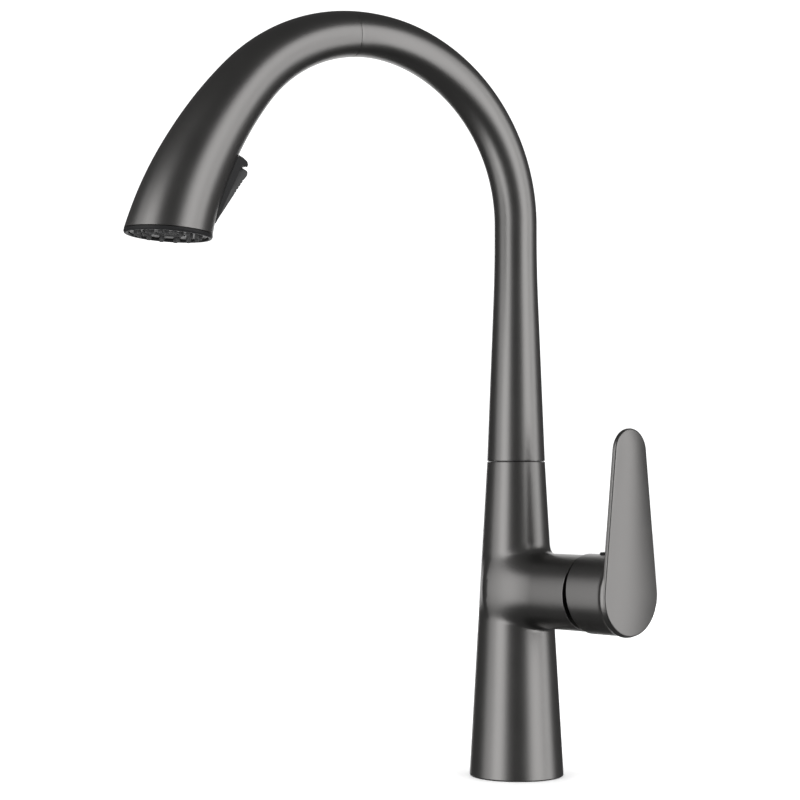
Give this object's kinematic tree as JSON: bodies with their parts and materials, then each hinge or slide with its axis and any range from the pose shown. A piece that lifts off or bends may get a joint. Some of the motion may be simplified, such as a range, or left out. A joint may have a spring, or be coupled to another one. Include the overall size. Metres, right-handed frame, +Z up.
{
  "type": "pull down kitchen faucet",
  "caption": "Single lever kitchen faucet with a tapered column, a high arched swivel spout and a flared spray head that pulls off on a hose.",
  "frame": {"origin": "on the column's axis, in the plane of the foot's underside, where the deck hole is", "axes": "+Z up the column; +X along the hub out through the lever; -Y under the spout's square position"},
  "size_m": [0.1551, 0.2606, 0.421],
  "materials": {
    "gunmetal": "satin gunmetal plating over metal, fine brushing",
    "brass": "machined",
    "steel": "turned stainless steel",
    "copper": "drawn copper tube",
    "ceramic": "lapped alumina",
    "white_plastic": "moulded acetal",
    "dark_plastic": "fine moulded, near black",
    "rubber": "matt black",
    "grey_rubber": "soft matt grey silicone",
    "hose_braid": "woven dark nylon over a smooth hose"
  },
  "bodies": {
    "column": {"body_casting": "gunmetal", "foot_seal": "rubber", "shank_socket": "brass", "hot_tube": "copper", "cold_tube": "copper", "outlet_tube": "copper", "valve_seat": "brass", "port_seal": "rubber", "cartridge_base": "white_plastic", "fixed_disc": "ceramic", "cartridge_housing": "white_plastic", "bonnet_nut": "brass", "dome_ring": "gunmetal", "swivel_nipple": "brass", "bearing_washer": "dark_plastic", "lower_bush": "white_plastic", "upper_bush": "white_plastic", "retaining_ring": "steel", "stop_pin": "steel"},
    "spout": {"spout_shell": "gunmetal", "swivel_sleeve": "brass", "docking_collar": "white_plastic", "spray_hose": "hose_braid"},
    "spray_head": {"head_shell": "gunmetal", "water_body": "dark_plastic", "hose_connector": "brass", "check_valve": "white_plastic", "rocker_bezel": "dark_plastic", "rocker_pin": "steel", "diverter_spring": "steel", "spray_plate": "gunmetal", "nozzle_mat": "grey_rubber", "aerator": "grey_rubber", "face_ring": "dark_plastic"},
    "rocker": {"rocker": "dark_plastic"},
    "plunger": {"diverter_plunger": "white_plastic"},
    "carrier": {"stem_carrier": "white_plastic", "stem_pin": "steel"},
    "lever": {"handle": "gunmetal", "stem": "steel", "grub_screw": "steel", "screw_plug": "dark_plastic"},
    "disc_slide": {"moving_disc": "ceramic", "disc_driver": "dark_plastic"}
  },
  "joints": [
    {"name": "spout_swivel", "type": "hinge", "parent": "column", "child": "spout", "pos_m": [0, 0, 0.1767], "axis": [0, 0, 1], "range_deg": [-47.6, 72.4]},
    {"name": "head_pull", "type": "slide", "parent": "spout", "child": "spray_head", "axis": [-0.2136, -0.9713, -0.1045], "range_m": [0, 0.4], "deforming": ["spray_hose"]},
    {"name": "rocker_tip", "type": "hinge", "parent": "spray_head", "child": "rocker", "pos_m": [-0.03994, -0.18167, 0.31507], "axis": [0.9767, -0.2147, 0], "range_deg": [-0.3, 9.3]},
    {"name": "plunger_slide", "type": "slide", "parent": "spray_head", "child": "plunger", "axis": [-0.1958, -0.8905, 0.4107], "range_m": [0, 0.0014], "deforming": ["diverter_spring"]},
    {"name": "temperature_turn", "type": "hinge", "parent": "column", "child": "carrier", "pos_m": [0.042, 0, 0.1045], "axis": [1, 0, 0], "range_deg": [-45, 45]},
    {"name": "flow_tip", "type": "hinge", "parent": "carrier", "child": "lever", "pos_m": [0.042, 0, 0.1045], "axis": [0, 1, 0], "range_deg": [0, 20]},
    {"name": "disc_shift", "type": "slide", "parent": "carrier", "child": "disc_slide", "axis": [0, 0, 1], "range_m": [-0.0002, 0.0033]}
  ],
  "couplings": [
    {"joint": "rocker_tip", "follows": "plunger_slide", "rad_per_m": 111.11},
    {"joint": "disc_shift", "follows": "flow_tip", "m_per_rad": 0.009}
  ]
}
